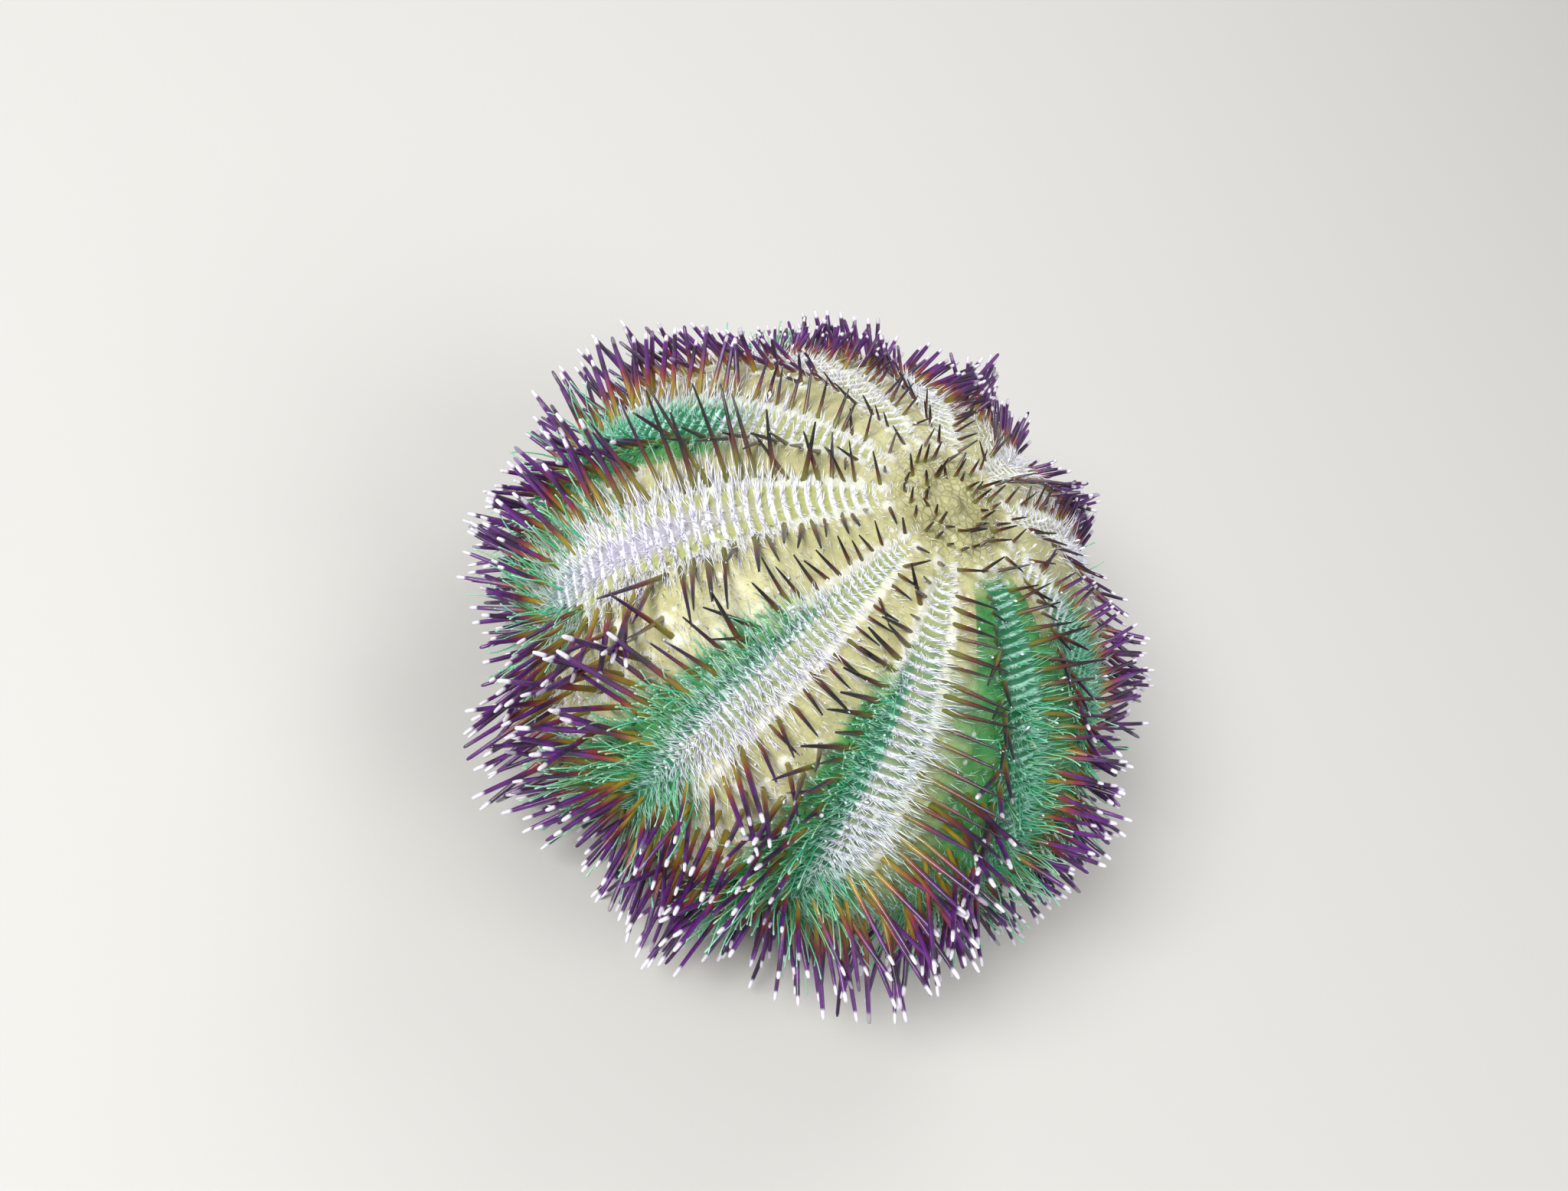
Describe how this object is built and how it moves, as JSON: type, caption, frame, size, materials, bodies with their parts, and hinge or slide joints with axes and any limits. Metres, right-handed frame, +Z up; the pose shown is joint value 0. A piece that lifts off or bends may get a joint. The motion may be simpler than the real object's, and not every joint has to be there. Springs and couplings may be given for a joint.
{
  "type": "short-spined regular sea urchin, still model",
  "caption": "Domed, round sea urchin with banded rows of short tapered spines, bare strips between them and a toothed mouth beneath.",
  "frame": {"origin": "centre of the bounding box's bottom, on the floor under the mouth", "axes": "+Z up through the mouth and the crown; the picture looks along +Y and down, its picture turned by about 44 degrees"},
  "size_m": [0.0738, 0.0746, 0.0424],
  "materials": {
    "inter_wall": "skin-covered wall plates with olive to purple, white-tipped spines",
    "amb_wall": "skin-covered wall plates with olive to purple, white-tipped spines and pale tube feet",
    "crown_plates": "skin-covered small plates",
    "vent_skin": "soft, plated skin",
    "mouth_skin": "soft, wet skin",
    "tooth": "smooth, hard"
  },
  "bodies": {
    "root": {"interambulacrum_1": "inter_wall", "ambulacrum_1": "amb_wall", "interambulacrum_2": "inter_wall", "ambulacrum_2": "amb_wall", "interambulacrum_3": "inter_wall", "ambulacrum_3": "amb_wall", "interambulacrum_4": "inter_wall", "ambulacrum_4": "amb_wall", "interambulacrum_5": "inter_wall", "ambulacrum_5": "amb_wall", "apical_ring": "crown_plates", "periproct": "vent_skin", "peristome": "mouth_skin", "tooth_1": "tooth", "tooth_2": "tooth", "tooth_3": "tooth", "tooth_4": "tooth", "tooth_5": "tooth"}
  },
  "joints": []
}
